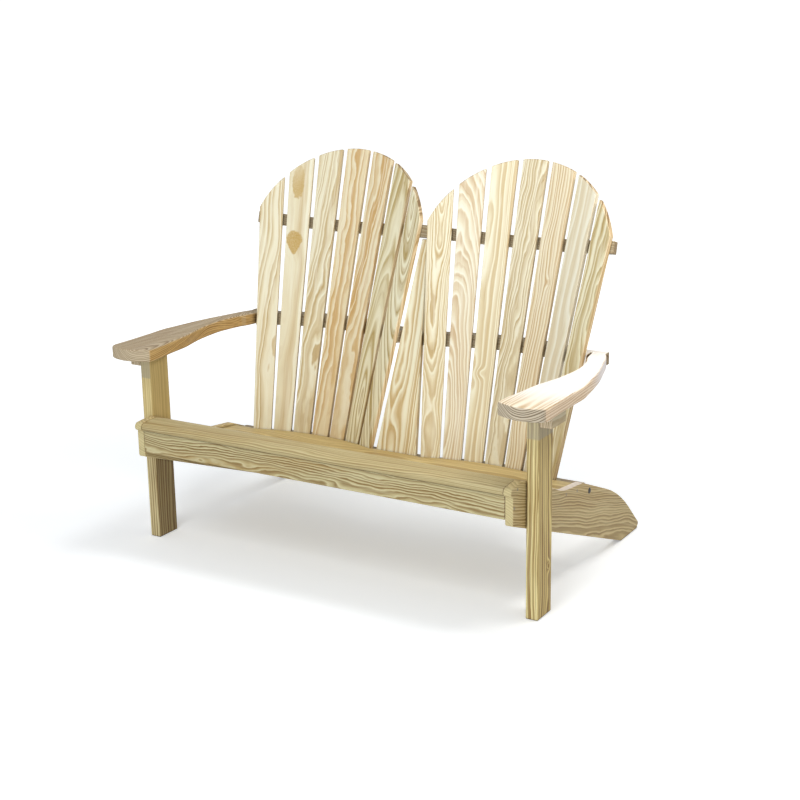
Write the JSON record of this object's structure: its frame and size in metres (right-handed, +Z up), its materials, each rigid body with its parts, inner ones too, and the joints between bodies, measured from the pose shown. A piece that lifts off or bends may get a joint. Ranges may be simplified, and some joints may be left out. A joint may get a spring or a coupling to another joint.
{
  "type": "outdoor bench",
  "caption": "Wooden garden love seat with a low slanted slatted seat, dished fan-shaped backs with rounded tops side by side, and wide flat arms.",
  "frame": {"origin": "on the ground, under the middle of the bench's bounding box", "axes": "+X along the seat, +Y from the seat's front to its back, +Z up"},
  "size_m": [1.5074, 0.9154, 1.1905],
  "materials": {
    "pine_gold": "planed, unpainted treated pine, olive gold",
    "pine_grey": "planed, unpainted treated pine, greyed",
    "pine_pale": "planed, unpainted pine, pale yellow"
  },
  "bodies": {
    "root": {"stringer_left": "pine_gold", "stringer_right": "pine_gold", "front_leg_left": "pine_gold", "front_leg_right": "pine_gold", "front_apron": "pine_gold", "seat_board_front": "pine_gold", "seat_slat_1": "pine_gold", "seat_slat_2": "pine_gold", "seat_slat_3": "pine_gold", "seat_board_rear": "pine_gold", "arm_left": "pine_grey", "arm_right": "pine_grey", "arm_block_left": "pine_grey", "arm_block_right": "pine_grey", "back_rail_lower": "pine_grey", "back_rail_middle": "pine_grey", "back_rail_upper": "pine_grey", "seat_cleat_left": "pine_grey", "seat_cleat_right": "pine_grey", "seat_brace": "pine_grey", "left_fan_slat_1": "pine_pale", "left_fan_slat_2": "pine_pale", "left_fan_slat_3": "pine_pale", "left_fan_slat_4": "pine_pale", "left_fan_slat_5": "pine_pale", "left_fan_slat_6": "pine_pale", "left_fan_slat_7": "pine_pale", "right_fan_slat_1": "pine_pale", "right_fan_slat_2": "pine_pale", "right_fan_slat_3": "pine_pale", "right_fan_slat_4": "pine_pale", "right_fan_slat_5": "pine_pale", "right_fan_slat_6": "pine_pale", "right_fan_slat_7": "pine_pale", "centre_slat": "pine_pale"}
  },
  "joints": []
}
